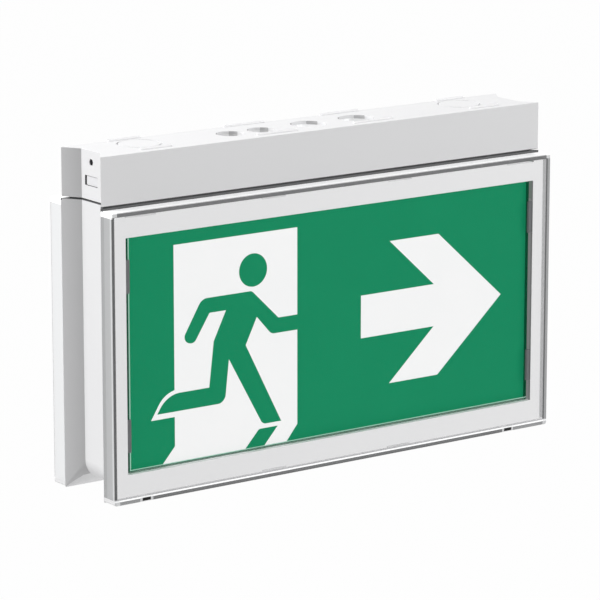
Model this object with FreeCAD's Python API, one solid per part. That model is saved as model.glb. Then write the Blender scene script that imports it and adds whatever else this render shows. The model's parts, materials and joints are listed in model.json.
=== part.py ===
"""Double-sided emergency exit light for a ceiling.

Millimetres, +Z up, X along the sign, Y through it. The front legend faces -Y. The origin is the
centre of the middle cable entry, in the plane of the housing's top face.

A waisted mounting housing goes on the ceiling. The sign unit plugs into it from below and is held
by a sprung latch at each end. It has the same waisted section on its sides and bottom, a light
guide in the middle, and on each side a border frame, a legend and a clear cover.
"""
import FreeCAD, Part
import math
import os

from FreeCAD import Vector

os.makedirs("parts", exist_ok=True)

# ---------------------------------------------------------------- driving dimensions (mm)
# Overall section
RIM_WIDTH = 346.0              # flare edge of the sign body, also the covers' outside width
HOUSING_SETBACK = 0.5          # housing's wide faces inside the rim, at each end
FLARE_RUN = 8.0                # end face of the waist inside the rim, at each end
HOUSING_DEPTH = 45.0           # along Y, front face to rear face
HOUSING_HEIGHT = 31.0          # top face to lower edge
NECK_DEPTH = 22.0              # width of the flat end face along Y
HOUSING_WALL = 2.2
HOUSING_TOP = 2.5              # thickness of the ceiling side

# Sign unit
RIM_BOTTOM = 218.0             # top face to the lowest edge of the flare
SEAM = 1.0                     # shadow gap between housing and sign unit
NECK_FLOOR_RISE = 6.0          # the waist's floor above the flare's lowest edge
NECK_CORNER = 13.0             # radius of the waist's lower corners
RIM_CORNER = 1.0
SMALLEST_CORNER = 0.4
BODY_WALL = 2.2
SPIGOT_HEIGHT = 5.0            # locating rim that stands up inside the housing
SPIGOT_WALL = 1.8

# Covers
COVER_HEIGHT = 184.6
COVER_DEPTH = 12.7             # front face to the open edge
COVER_PLATE = 3.2
COVER_WALL = 3.4
COVER_EDGE = 1.2               # rounding of the outer corners
COVER_TRAVEL_ROOM = 0.3        # gap between the open edge and the flare
COVER_FLOOR_ROOM = 0.4         # the flare stands this much lower than the cover
RELEASE_SLOT_INSET = 28.5      # slot's centre from the cover's end
RELEASE_SLOT_WIDTH = 7.0
RELEASE_SLOT_DEPTH = 4.5
SNAP_X = 50.0
SNAP_WIDTH = 18.0
SNAP_RISE = 0.9
CORNER_SNAP_INSET = 23.0
CORNER_SNAP_WIDTH = 22.0

# Border frames
FRAME_FACE = 2.4
FRAME_SKIRT = 2.0
FRAME_LEDGE = 2.0              # thickness of the ledge that the legend sits on
FRAME_LEDGE_WIDTH = 5.0
FRAME_INNER_WALL = 1.6
FRAME_PEG_INSET = 41.0         # outer pegs from the ends of the window
FRAME_PEG_RADIUS = 2.0
FLANGE_OVERLAP = 2.0           # flange opening past the legend window

# Legends
WINDOW_INSET = 12.0            # end of the window inside the rim
WINDOW_HEIGHT = 150.0
WINDOW_CENTRE = 125.0          # below the top face
LEGEND_SIDE_GAP = 2.0          # open gap between plate and window at each end
LEGEND_SILL_GAP = 0.5          # the same above and below
LEGEND_PLATE = 3.0
PRINT = 0.25
OPAL_SHEET = 2.45
CLIP_Z = 50.5
CLIP_HEIGHT = 21.0
CLIP_NOSE = 1.4                # clip's reach over the plate
CLIP_THICKNESS = 1.3

# Pictogram, for a sign 150 mm high
PICTOGRAM_MODULE = 1.0
DOOR_FROM_EDGE = 36.2
TIP_FROM_EDGE = 20.4

# Light source
GUIDE_THICKNESS = 6.0
GUIDE_TOP_GAP = 1.6            # between LED faces and guide
GUIDE_END_ROOM = 1.0
GUIDE_CORNER = 1.0             # radius of the guide's upper corners
RAIL_THICKNESS = 2.0
RAIL_REACH = 7.0
LED_BOARD_INSET = 15.0         # strip's end inside the neck's end face
LED_BOARD_WIDTH = 12.0
BOARD = 1.6
LED_COUNT = 24
LED_SIZE = 3.0
LED_HEIGHT = 0.8

# Top face of the housing
RIB_FRONT_INSET = 7.5          # front row from the front face
RIB_REAR_INSET = 0.8           # rear row from the rear face
RIB_WIDTH = 1.2
RIB_HEIGHT = 1.2
RIB_ROW_SHIFT = 2.5            # the rows' middle, to the right of the sign's middle
RIB_INNER_X = 38.0             # from the rows' middle
RIB_INNER_LENGTH = 31.0
RIB_OUTER_INSET = 43.5         # from the rim's end
RIB_OUTER_LENGTH = 23.4
KNOCKOUT_INSET = 46.5          # centre from the rim's end
KNOCKOUT_Y = 4.5
KNOCKOUT_RADIUS = 14.2
KNOCKOUT_GROOVE = 0.8
ENTRY_SMALL_X = (-61.0, -37.0)
ENTRY_SMALL_RADIUS = 9.0
ENTRY_COLLAR_WALL = 2.0
ENTRY_COLLAR_LENGTH = 4.5
ENTRY_LARGE_X = (0.0, 38.0)
ENTRY_LARGE_RADIUS = 11.75

# Cable anchors
ANCHOR_OFFSET = 2.6            # bar centre beside the entry's centre
ANCHOR_WIDTH = 3.8
ANCHOR_THICKNESS = 3.0
ANCHOR_BOSS_Y = 15.4
ANCHOR_BOSS_RADIUS = 3.1
ANCHOR_BOSS_HEIGHT = 3.5
SMALL_SCREW_RADIUS = 1.25
SMALL_HEAD_RADIUS = 2.3
SMALL_HEAD_HEIGHT = 1.4
SLOT_SHARE = 0.4               # driver slot's width as a share of a head's radius

# End screws and latches
END_SCREW_Z = 7.2
END_SCREW_RADIUS = 1.5
END_HEAD_RADIUS = 2.05
END_HEAD_HOLE = 2.2
END_SCREW_LENGTH = 6.5
LATCH_Z = 19.05
LATCH_WINDOW_WIDTH = 14.2
LATCH_WINDOW_HEIGHT = 6.3
LATCH_RECESS = 0.4
LATCH_REAR_ROOM = 1.5          # finger gap behind the button's nose
LATCH_COLLAR = 1.5             # collar behind the wall, past the window on each side
LATCH_COLLAR_THICKNESS = 1.8
LATCH_CHEEK = 1.8
LATCH_DEPTH = 12.8             # tower from its front to the back of its rear wall
LATCH_REAR_WALL = 2.0
LATCH_SHELF = 2.0
TOWER_HEAD_DEPTH = 4.0
TOWER_HEAD_HEIGHT = 7.6
SPRING_STRIP = 0.4
SPRING_HEIGHT = 5.0
SPRING_LEGS = 5

# Electronics
TRAY_ROOM = 2.0                # driver board above the sign body's roof
INNER_END_ROOM = 23.0          # boards and battery from the neck's end face
DRIVER_LENGTH = 96.0
DRIVER_WIDTH = 30.0
DRIVER_SCREW_INSET = 4.0
STANDOFF_LEDGE = 1.0           # standoff's radius past the screw head
TRANSFORMER_SIZE = (20.0, 18.0, 9.0)
TRANSFORMER_INSET = 36.0       # centre from the board's left end
WINDING_SHARE = 0.55           # winding's length as a share of the core's
CORE_SHARE = 0.6               # core's width as a share of the winding's
WINDING_CORNER = 2.2
CAPACITOR_RADIUS = 4.0
CAPACITOR_ROOM = 1.0           # beside the transformer and between the two
CAPACITOR_HEIGHT = 9.0
CHIP_SIZE = (6.0, 4.5, 1.8)
CHIP_ROOM = 2.0                # chips from the transformer and the header
CHIP_Y = 8.0
HEADER_INSET = 30.0            # centre from the board's right end
HEADER_SIZE = (18.0, 9.0)
HEADER_HEIGHT = 12.0
HEADER_WALL = 1.2
CONTACT_PITCH = 4.0
CONTACT_RADIUS = 0.5
CONTACT_TIP_ROOM = 2.0         # contacts below the header's rim
CONTACT_ROOM = 0.3
CONNECTOR_ENGAGE = 6.0
CONNECTOR_LUG = 2.0            # connector's base past the header at each end
CONNECTOR_LIP = 1.0            # the same at front and rear
LINK_INSET = 8.0               # centre from the board's right end
LINK_SIZE = (8.0, 5.0)
BATTERY_LENGTH = 102.0
CELL_RADIUS = 7.25
CLIP_STRAP = 0.8
CLIP_STRAP_WIDTH = 9.0
CLIP_STRAP_INSET = 22.0
TERMINAL_LENGTH = 32.0
TERMINAL_ROOM = 5.0            # terminal block from the connector's base
TERMINAL_DEPTH = 17.0
TERMINAL_HEIGHT = 11.0
TERMINAL_WAYS = 4
TERMINAL_BOSS = 3.0
TERMINAL_SLEEVE_SHARE = 0.33   # radii as shares of the pitch
TERMINAL_CLAMP_SHARE = 0.28
TERMINAL_WIRE_SHARE = 0.2

FIT = 0.3                      # clearance of pieces that move past each other
SNUG = 0.1                     # clearance of pieces that locate each other
CUT = 1.0                      # how far a cutter runs past what it cuts
TOUCH = 0.01                   # edges this near a plane lie in it
FLAT_SIDED_BELOW = 3.5         # smaller round bars and holes get flat sides
FLAT_SIDES = 8
FLAT_CORNER_BELOW = 2.0        # smaller corners of a slab are two flats each

# ---------------------------------------------------------------- places worked out from them
HALF_DEPTH = HOUSING_DEPTH / 2
HALF_NECK = NECK_DEPTH / 2
HOUSING_WIDTH = RIM_WIDTH - 2 * HOUSING_SETBACK
NECK_WIDTH = RIM_WIDTH - 2 * FLARE_RUN
WINDOW_WIDTH = RIM_WIDTH - 2 * WINDOW_INSET
BODY_TOP = -(HOUSING_HEIGHT + SEAM)
ROOF_UNDERSIDE = BODY_TOP - BODY_WALL
COVER_BOTTOM = -RIM_BOTTOM + COVER_FLOOR_ROOM
COVER_TOP = COVER_BOTTOM + COVER_HEIGHT
COVER_OPEN_EDGE = -(HALF_DEPTH + COVER_TRAVEL_ROOM)
COVER_FACE = COVER_OPEN_EDGE - COVER_DEPTH
FRAME_FRONT = COVER_FACE + COVER_PLATE + FIT
COVER_INSET = COVER_WALL + FIT
LEGEND_BACK = -HALF_DEPTH - FRAME_LEDGE
LEGEND_FRONT = LEGEND_BACK - OPAL_SHEET - PRINT - LEGEND_PLATE
PLATE_HALF_WIDTH = WINDOW_WIDTH / 2 - LEGEND_SIDE_GAP
PLATE_HALF_HEIGHT = WINDOW_HEIGHT / 2 - LEGEND_SILL_GAP
HOUSING_INNER_X = NECK_WIDTH / 2 - HOUSING_WALL
LED_FACE = ROOF_UNDERSIDE - BOARD - LED_HEIGHT
GUIDE_TOP = LED_FACE - GUIDE_TOP_GAP
NECK_FLOOR = -RIM_BOTTOM + NECK_FLOOR_RISE
DRIVER_BOARD_TOP = BODY_TOP + TRAY_ROOM + BOARD
DRIVER_RIGHT = NECK_WIDTH / 2 - INNER_END_ROOM
DRIVER_LEFT = DRIVER_RIGHT - DRIVER_LENGTH
TRANSFORMER_X = DRIVER_LEFT + TRANSFORMER_INSET
HEADER_X = DRIVER_RIGHT - HEADER_INSET
LINK_X = DRIVER_RIGHT - LINK_INSET
BATTERY_LEFT = -NECK_WIDTH / 2 + INNER_END_ROOM
BATTERY_RIGHT = BATTERY_LEFT + BATTERY_LENGTH
TERMINAL_RIGHT = HEADER_X - HEADER_SIZE[0] / 2 - CONNECTOR_LUG - TERMINAL_ROOM
TERMINAL_LEFT = TERMINAL_RIGHT - TERMINAL_LENGTH
LED_BOARD_LENGTH = NECK_WIDTH - 2 * LED_BOARD_INSET


# ---------------------------------------------------------------- helpers
def box(x0, x1, y0, y1, z0, z1):
    """Box between three pairs of limits."""
    return Part.makeBox(x1 - x0, y1 - y0, z1 - z0, Vector(x0, y0, z0))


def centred_box(x, y, size_x, size_y, z0, z1):
    """Box centred on X and Y between two heights."""
    return box(x - size_x / 2, x + size_x / 2, y - size_y / 2, y + size_y / 2, z0, z1)


def rod_along(axis, start, radius, length):
    """Round bar from a point along a unit direction. A small one has flat sides."""
    if radius >= FLAT_SIDED_BELOW:
        return Part.makeCylinder(radius, length, start, axis)
    turn = FreeCAD.Rotation(Vector(0, 0, 1), axis)
    corners = []
    for side in range(FLAT_SIDES + 1):
        angle = 2 * math.pi * (side % FLAT_SIDES) / FLAT_SIDES
        offset = Vector(radius * math.cos(angle), radius * math.sin(angle), 0)
        corners.append(start + turn.multVec(offset))
    return Part.Face(Part.makePolygon(corners)).extrude(axis * length)


def post(x, y, radius, z0, z1):
    """Upright round bar between two heights."""
    return rod_along(Vector(0, 0, 1), Vector(x, y, z0), radius, z1 - z0)


def fused(shapes):
    """One solid from several that touch or overlap."""
    return shapes[0].multiFuse(shapes[1:]).removeSplitter()


def to_rear(shape):
    """The same piece on the rear of the sign."""
    return shape.mirror(Vector(0, 0, 0), Vector(0, 1, 0))


def to_right(shape):
    """The same piece at the right-hand end."""
    return shape.mirror(Vector(0, 0, 0), Vector(1, 0, 0))


def both_ends(shape):
    """A piece and its mirror image at the other end."""
    return [shape, to_right(shape)]


def rounded_wire(corners, y=0.0, flat_below=0.0):
    """Closed outline in an XZ plane from (x, z, radius) corners, each joined by a tangent arc.

    Corners with a radius below the limit get two flats in place of the arc.
    """
    edges = []
    count = len(corners)
    starts = []
    ends = []
    middles = []
    for index in range(count):
        x, z, radius = corners[index]
        here = Vector(x, y, z)
        before = Vector(corners[index - 1][0], y, corners[index - 1][1])
        after = Vector(corners[(index + 1) % count][0], y, corners[(index + 1) % count][1])
        back = (before - here).normalize()
        ahead = (after - here).normalize()
        half_angle = back.getAngle(ahead) / 2
        tangent = radius / math.tan(half_angle)
        starts.append(here + back * tangent)
        ends.append(here + ahead * tangent)
        inward = (back + ahead).normalize()
        middles.append(here + inward * (radius / math.sin(half_angle) - radius))
    for index in range(count):
        radius = corners[index][2]
        if radius > flat_below:
            edges.append(Part.Arc(starts[index], middles[index], ends[index]).toShape())
        elif radius > 0:
            edges.append(Part.LineSegment(starts[index], middles[index]).toShape())
            edges.append(Part.LineSegment(middles[index], ends[index]).toShape())
        edges.append(Part.LineSegment(ends[index], starts[(index + 1) % count]).toShape())
    return Part.Wire(edges)


def slab(corners, y0, y1):
    """Outline in the XZ plane, made solid between two depths."""
    outline = rounded_wire(corners, y0, FLAT_CORNER_BELOW)
    return Part.Face(outline).extrude(Vector(0, y1 - y0, 0))


def rectangle(half_width, bottom, top, radius=0.0):
    """Corners of a rectangle centred on X."""
    return [(-half_width, top, radius), (half_width, top, radius),
            (half_width, bottom, radius), (-half_width, bottom, radius)]


def waist_wire(half_width, half_depth, neck_half_width, neck_half_depth, z):
    """Plan outline with a narrow neck at each end and slanted flares to the wide faces."""
    quarter = [(half_width, half_depth), (neck_half_width, neck_half_depth)]
    right = quarter + [(x, -y) for x, y in reversed(quarter)]
    left = [(-x, y) for x, y in reversed(right)]
    points = [Vector(x, y, z) for x, y in right + left]
    return Part.makePolygon(points + points[:1])


def waist_prism(inset, z0, z1):
    """Upright solid on the housing's plan outline, drawn in by an even distance."""
    wire = waist_wire(HOUSING_WIDTH / 2, HALF_DEPTH, NECK_WIDTH / 2, HALF_NECK, z0)
    if inset > 0:
        wire = wire.makeOffset2D(-inset, join=2)
    return Part.Face(wire).extrude(Vector(0, 0, z1 - z0))


def screw(tip, direction, radius, head_radius, length, head_height):
    """Pan-head screw: its tip, and the direction from tip to head."""
    shank = rod_along(direction, tip, radius, length)
    head_base = tip + direction * length
    head = rod_along(direction, head_base, head_radius, head_height)
    slot_width = head_radius * SLOT_SHARE
    slot = Part.makeBox(head_radius * 4, slot_width, head_height)
    slot.translate(Vector(-head_radius * 2, -slot_width / 2, 0))
    turn = FreeCAD.Rotation(Vector(0, 0, 1), direction)
    slot.Placement = FreeCAD.Placement(head_base + direction * (head_height / 2), turn).multiply(
        slot.Placement)
    return shank.fuse(head).cut(slot)


# ---------------------------------------------------------------- mounting housing
def cable_entries():
    """Cutters of the four round cable entries."""
    depth = HOUSING_TOP + ENTRY_COLLAR_LENGTH + CUT
    small = [post(x, 0, ENTRY_SMALL_RADIUS, -depth, CUT) for x in ENTRY_SMALL_X]
    large = [post(x, 0, ENTRY_LARGE_RADIUS, -depth, CUT) for x in ENTRY_LARGE_X]
    return small + large


def anchor_points():
    """Where the cable anchor bars are screwed to the housing."""
    return [(x + ANCHOR_OFFSET, side * ANCHOR_BOSS_Y) for x in ENTRY_LARGE_X for side in (-1, 1)]


def top_ribs():
    """Two rows of low ribs on the top face, which stand off the ceiling."""
    outer_x = RIM_WIDTH / 2 - RIB_OUTER_INSET
    ribs = []
    for y in (RIB_FRONT_INSET - HALF_DEPTH, HALF_DEPTH - RIB_REAR_INSET):
        for end in (-1, 1):
            for x, length in ((RIB_INNER_X, RIB_INNER_LENGTH), (outer_x, RIB_OUTER_LENGTH)):
                rib = centred_box(RIB_ROW_SHIFT + end * x, y, length, RIB_WIDTH, -CUT, RIB_HEIGHT)
                ribs.append(rib)
    return ribs


def knockout_groove(end):
    """Ring groove that outlines a knockout in the top face, near one end."""
    x = end * (RIM_WIDTH / 2 - KNOCKOUT_INSET)
    outer = post(x, KNOCKOUT_Y, KNOCKOUT_RADIUS, -KNOCKOUT_GROOVE, CUT)
    return outer.cut(post(x, KNOCKOUT_Y, KNOCKOUT_RADIUS - KNOCKOUT_GROOVE, -KNOCKOUT_GROOVE, CUT))


def latch_window(side_room=0.0):
    """Cutter of the window in the left end face, or the button that fits it."""
    return box(-NECK_WIDTH / 2 - CUT, -HOUSING_INNER_X + CUT,
               -LATCH_WINDOW_WIDTH / 2 + side_room, LATCH_WINDOW_WIDTH / 2 - side_room,
               -LATCH_Z - LATCH_WINDOW_HEIGHT / 2 + side_room,
               -LATCH_Z + LATCH_WINDOW_HEIGHT / 2 - side_room)


def end_screw_hole():
    """Stepped hole in the left end face: the head's recess, then the shank's clearance."""
    inward = Vector(1, 0, 0)
    mouth = Vector(-NECK_WIDTH / 2 - CUT, 0, -END_SCREW_Z)
    recess = rod_along(inward, mouth, END_HEAD_HOLE, CUT + HOUSING_WALL / 2)
    through = rod_along(inward, mouth, END_SCREW_RADIUS + SNUG, CUT * 2 + HOUSING_WALL)
    return [recess, through]


def terminal_boss_points():
    """Where the terminal block hangs from the housing."""
    middle = (TERMINAL_LEFT + TERMINAL_RIGHT) / 2
    reach = TERMINAL_LENGTH / 2 - TERMINAL_BOSS
    return [(middle - reach, 0), (middle + reach, 0)]


def mounting_housing():
    """Moulded housing, open below, that goes on the ceiling."""
    shell = waist_prism(0, -HOUSING_HEIGHT, 0)
    shell = shell.cut(waist_prism(HOUSING_WALL, -HOUSING_HEIGHT - CUT, -HOUSING_TOP))
    collars = [post(x, 0, ENTRY_SMALL_RADIUS + ENTRY_COLLAR_WALL,
                    -HOUSING_TOP - ENTRY_COLLAR_LENGTH, -HOUSING_TOP / 2) for x in ENTRY_SMALL_X]
    bosses = [post(x, y, ANCHOR_BOSS_RADIUS, -HOUSING_TOP - ANCHOR_BOSS_HEIGHT, -HOUSING_TOP / 2)
              for x, y in anchor_points()]
    hangers = [post(x, y, TERMINAL_BOSS, -HOUSING_TOP - ANCHOR_BOSS_HEIGHT, -HOUSING_TOP / 2)
               for x, y in terminal_boss_points()]
    shell = fused([shell] + collars + bosses + hangers + top_ribs())
    cutters = cable_entries()
    for end in (-1, 1):
        cutters.append(knockout_groove(end))
    for tool in [latch_window()] + end_screw_hole():
        cutters += both_ends(tool)
    for x, y in anchor_points() + terminal_boss_points():
        cutters.append(post(x, y, SMALL_SCREW_RADIUS, -HOUSING_TOP - ANCHOR_BOSS_HEIGHT - CUT,
                            -HOUSING_TOP))
    return shell.cut(cutters)


def cable_anchor_bars():
    """Bars across the large entries, which a cable is tied to."""
    bars = []
    top = -HOUSING_TOP - ANCHOR_BOSS_HEIGHT
    for x in ENTRY_LARGE_X:
        middle = x + ANCHOR_OFFSET
        bar = centred_box(middle, 0, ANCHOR_WIDTH, 2 * ANCHOR_BOSS_Y, top - ANCHOR_THICKNESS, top)
        ends = [post(middle, side * ANCHOR_BOSS_Y, ANCHOR_BOSS_RADIUS, top - ANCHOR_THICKNESS, top)
                for side in (-1, 1)]
        holes = [post(middle, side * ANCHOR_BOSS_Y, SMALL_SCREW_RADIUS + SNUG,
                      top - ANCHOR_THICKNESS - CUT, top + CUT) for side in (-1, 1)]
        bars.append(fused([bar] + ends).cut(holes))
    return bars


def cable_anchor_screws():
    """Screws that hold the anchor bars from below."""
    length = ANCHOR_THICKNESS + ANCHOR_BOSS_HEIGHT - SNUG
    screws = []
    for x, y in anchor_points():
        tip = Vector(x, y, -HOUSING_TOP - SNUG)
        screws.append(screw(tip, Vector(0, 0, -1), SMALL_SCREW_RADIUS, SMALL_HEAD_RADIUS, length,
                            SMALL_HEAD_HEIGHT))
    return screws


# ---------------------------------------------------------------- terminal block
def terminal_pitch():
    """Distance between two ways of the terminal block."""
    return (TERMINAL_LENGTH - 4 * TERMINAL_BOSS) / TERMINAL_WAYS


def terminal_way_x():
    """Centres of the ways, between the two fixing lugs."""
    first = TERMINAL_LEFT + 2 * TERMINAL_BOSS + terminal_pitch() / 2
    return [first + way * terminal_pitch() for way in range(TERMINAL_WAYS)]


def terminal_top():
    """Height of the face that sits on the housing's bosses."""
    return -HOUSING_TOP - ANCHOR_BOSS_HEIGHT


def terminal_block():
    """Insulating body with a wire hole and a screw shaft in each way."""
    top = terminal_top()
    low = top - TERMINAL_HEIGHT
    core = box(TERMINAL_LEFT + 2 * TERMINAL_BOSS, TERMINAL_RIGHT - 2 * TERMINAL_BOSS,
               -TERMINAL_DEPTH / 2, TERMINAL_DEPTH / 2, low, top)
    lug = box(TERMINAL_LEFT, TERMINAL_RIGHT, -TERMINAL_BOSS, TERMINAL_BOSS, top - TERMINAL_HEIGHT / 3, top)
    body = fused([core, lug])
    tools = []
    across = Vector(0, 1, 0)
    for x in terminal_way_x():
        mouth = Vector(x, -TERMINAL_DEPTH / 2 - CUT, low + TERMINAL_HEIGHT / 2)
        tools.append(rod_along(across, mouth, terminal_pitch() * TERMINAL_SLEEVE_SHARE,
                               TERMINAL_DEPTH + 2 * CUT))
        tools += [post(x, side * TERMINAL_DEPTH / 4, terminal_pitch() * TERMINAL_CLAMP_SHARE,
                       low - CUT, low + TERMINAL_HEIGHT / 2) for side in (-1, 1)]
    for x, y in terminal_boss_points():
        tools.append(post(x, y, SMALL_SCREW_RADIUS + SNUG, low - CUT, top + CUT))
    return body.cut(tools)


def terminal_brass():
    """Brass sleeve of each way, with its two clamp screws."""
    pieces = []
    low = terminal_top() - TERMINAL_HEIGHT
    across = Vector(0, 1, 0)
    for x in terminal_way_x():
        start = Vector(x, -TERMINAL_DEPTH / 2 + CUT, low + TERMINAL_HEIGHT / 2)
        sleeve = rod_along(across, start, terminal_pitch() * TERMINAL_SLEEVE_SHARE - SNUG,
                           TERMINAL_DEPTH - 2 * CUT)
        screws = [post(x, side * TERMINAL_DEPTH / 4,
                       terminal_pitch() * TERMINAL_CLAMP_SHARE - SNUG, low + CUT,
                       low + TERMINAL_HEIGHT / 2) for side in (-1, 1)]
        bore = rod_along(across, start, terminal_pitch() * TERMINAL_WIRE_SHARE, TERMINAL_DEPTH)
        pieces.append(fused([sleeve] + screws).cut(bore))
    return pieces


def terminal_screws():
    """Screws through the terminal block's lugs."""
    screws = []
    length = TERMINAL_HEIGHT / 3 + ANCHOR_BOSS_HEIGHT - SNUG
    for x, y in terminal_boss_points():
        tip = Vector(x, y, -HOUSING_TOP - SNUG)
        screws.append(screw(tip, Vector(0, 0, -1), SMALL_SCREW_RADIUS, SMALL_HEAD_RADIUS, length,
                            SMALL_HEAD_HEIGHT))
    return screws


# ---------------------------------------------------------------- sign body
def body_outline(inset, flare, y):
    """Outline of the sign body at its waist (flare 0) or at its rim (flare 1)."""
    half_width = (RIM_WIDTH if flare else NECK_WIDTH) / 2 - inset
    bottom = (-RIM_BOTTOM if flare else NECK_FLOOR) + inset
    radius = max((RIM_CORNER if flare else NECK_CORNER) - inset, SMALLEST_CORNER)
    top = BODY_TOP - inset
    corners = [(-half_width, top, 0), (half_width, top, 0), (half_width, bottom, radius),
               (-half_width, bottom, radius)]
    return rounded_wire(corners, y)


def waisted_solid(inset, run_past):
    """Solid with a straight waist and a lofted flare to each rim."""
    waist = Part.Face(body_outline(inset, 0, -HALF_NECK)).extrude(Vector(0, NECK_DEPTH, 0))
    pieces = [waist]
    for side in (-1, 1):
        wires = [body_outline(inset, 0, side * HALF_NECK), body_outline(inset, 1, side * HALF_DEPTH)]
        pieces.append(Part.makeLoft(wires, True, True))
        if run_past:
            end = Part.Face(body_outline(inset, 1, side * HALF_DEPTH))
            pieces.append(end.extrude(Vector(0, side * CUT, 0)))
    return fused(pieces)


def window_corners(margin):
    """The legend window, larger by a margin on each side."""
    half_height = WINDOW_HEIGHT / 2 + margin
    return rectangle(WINDOW_WIDTH / 2 + margin, -WINDOW_CENTRE - half_height,
                     -WINDOW_CENTRE + half_height)


def rim_flange():
    """Ring inside the front flare that the border frame sits on."""
    ring = Part.Face(body_outline(BODY_WALL / 2, 1, -HALF_DEPTH)).extrude(Vector(0, BODY_WALL, 0))
    inner = slab(window_corners(FLANGE_OVERLAP), -HALF_DEPTH - CUT, -HALF_DEPTH + 3 * BODY_WALL)
    outside = waisted_solid(0, False)
    return ring.common(outside).cut(inner)


def peg_points():
    """Where the border frame's pegs pass the flange, on its top and bottom bars."""
    frame_top = COVER_TOP - COVER_INSET
    frame_bottom = COVER_BOTTOM + COVER_INSET
    upper = (frame_top - FRAME_SKIRT - WINDOW_CENTRE + WINDOW_HEIGHT / 2 + FRAME_INNER_WALL) / 2
    lower = (frame_bottom + FRAME_SKIRT - WINDOW_CENTRE - WINDOW_HEIGHT / 2 - FRAME_INNER_WALL) / 2
    outer_x = WINDOW_WIDTH / 2 - FRAME_PEG_INSET
    return [(x, z) for x in (-outer_x, 0, outer_x) for z in (upper, lower)]


def guide_half_width():
    """Half the light guide's width, inside the waist's end walls."""
    return NECK_WIDTH / 2 - BODY_WALL - GUIDE_END_ROOM


def guide_rails():
    """Ribs on the left end wall that hold the edge of the light guide."""
    wall = -NECK_WIDTH / 2 + BODY_WALL / 2
    reach = -guide_half_width() + RAIL_REACH
    rails = []
    for side in (-1, 1):
        near = side * (GUIDE_THICKNESS / 2 + SNUG)
        far = near + side * RAIL_THICKNESS
        rails.append(box(wall, reach, min(near, far), max(near, far),
                         NECK_FLOOR + NECK_CORNER, GUIDE_TOP))
    return rails


def cheek_inner_y():
    """Inner face of the tower's cheeks, which guide the button's collar and the spring."""
    return LATCH_WINDOW_WIDTH / 2 + LATCH_COLLAR + FIT


def latch_tower():
    """Tower at the left end of the sign body's roof: cheeks, shelf, rear wall and screw head."""
    front = -HOUSING_INNER_X + FIT
    back = front + LATCH_DEPTH
    cheek_inner = cheek_inner_y()
    cheek_outer = cheek_inner + LATCH_CHEEK
    shelf_top = -LATCH_Z - LATCH_WINDOW_HEIGHT / 2 - LATCH_COLLAR - FIT
    top = -HOUSING_TOP - FIT
    foot = BODY_TOP - BODY_WALL / 2
    pieces = [box(front, back, cheek_inner, cheek_outer, foot, top),
              box(front, back, -cheek_outer, -cheek_inner, foot, top),
              box(front, back, -cheek_outer, cheek_outer, shelf_top - LATCH_SHELF, shelf_top),
              box(back - LATCH_REAR_WALL, back, -cheek_outer, cheek_outer, foot, top),
              box(front, front + TOWER_HEAD_DEPTH, -cheek_outer, cheek_outer,
                  top - TOWER_HEAD_HEIGHT, top)]
    pilot = rod_along(Vector(1, 0, 0), Vector(front - CUT, 0, -END_SCREW_Z), END_SCREW_RADIUS,
                      TOWER_HEAD_DEPTH + 2 * CUT)
    return fused(pieces).cut(pilot)


def spigot():
    """Rim on the roof that locates the sign unit inside the housing."""
    outer = waist_prism(HOUSING_WALL + FIT, BODY_TOP - BODY_WALL / 2, BODY_TOP + SPIGOT_HEIGHT)
    inner = waist_prism(HOUSING_WALL + FIT + SPIGOT_WALL, BODY_TOP - BODY_WALL,
                        BODY_TOP + SPIGOT_HEIGHT + CUT)
    return outer.cut(inner)


def driver_standoffs():
    """Where the driver board is screwed to the roof."""
    y = DRIVER_WIDTH / 2 - DRIVER_SCREW_INSET
    ends = (DRIVER_LEFT + DRIVER_SCREW_INSET, DRIVER_RIGHT - DRIVER_SCREW_INSET)
    return [(x, side * y) for x in ends for side in (-1, 1)]


def led_screw_points():
    """Where the LED board is screwed up into the roof, between chips."""
    pitch = LED_BOARD_LENGTH / LED_COUNT
    return [-pitch * (LED_COUNT // 3), 0.0, pitch * (LED_COUNT // 3)]


def sign_body():
    """Moulded body: waisted ring with flanges, roof, latch towers and guide rails."""
    shell = waisted_solid(0, False).cut(waisted_solid(BODY_WALL, True))
    flange = rim_flange()
    additions = [flange, to_rear(flange), spigot()]
    for piece in guide_rails() + [latch_tower()]:
        additions += both_ends(piece)
    for x, y in driver_standoffs():
        additions.append(post(x, y, SMALL_HEAD_RADIUS + STANDOFF_LEDGE, BODY_TOP - BODY_WALL / 2,
                              BODY_TOP + TRAY_ROOM))
    shell = fused([shell] + additions)
    cutters = [centred_box(LINK_X, 0, LINK_SIZE[0] + 2 * FIT, LINK_SIZE[1] + 2 * FIT,
                           ROOF_UNDERSIDE - CUT, BODY_TOP + CUT)]
    across = Vector(0, 1, 0)
    for x, z in peg_points():
        start = Vector(x, -HALF_DEPTH - CUT, z)
        cutters.append(rod_along(across, start, FRAME_PEG_RADIUS + SNUG, HOUSING_DEPTH + 2 * CUT))
    for x, y in driver_standoffs():
        cutters.append(post(x, y, SMALL_SCREW_RADIUS, ROOF_UNDERSIDE - CUT, BODY_TOP + TRAY_ROOM
                            + CUT))
    for x in led_screw_points():
        cutters.append(post(x, 0, SMALL_SCREW_RADIUS, ROOF_UNDERSIDE - CUT, BODY_TOP + CUT))
    return shell.cut(cutters)


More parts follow.
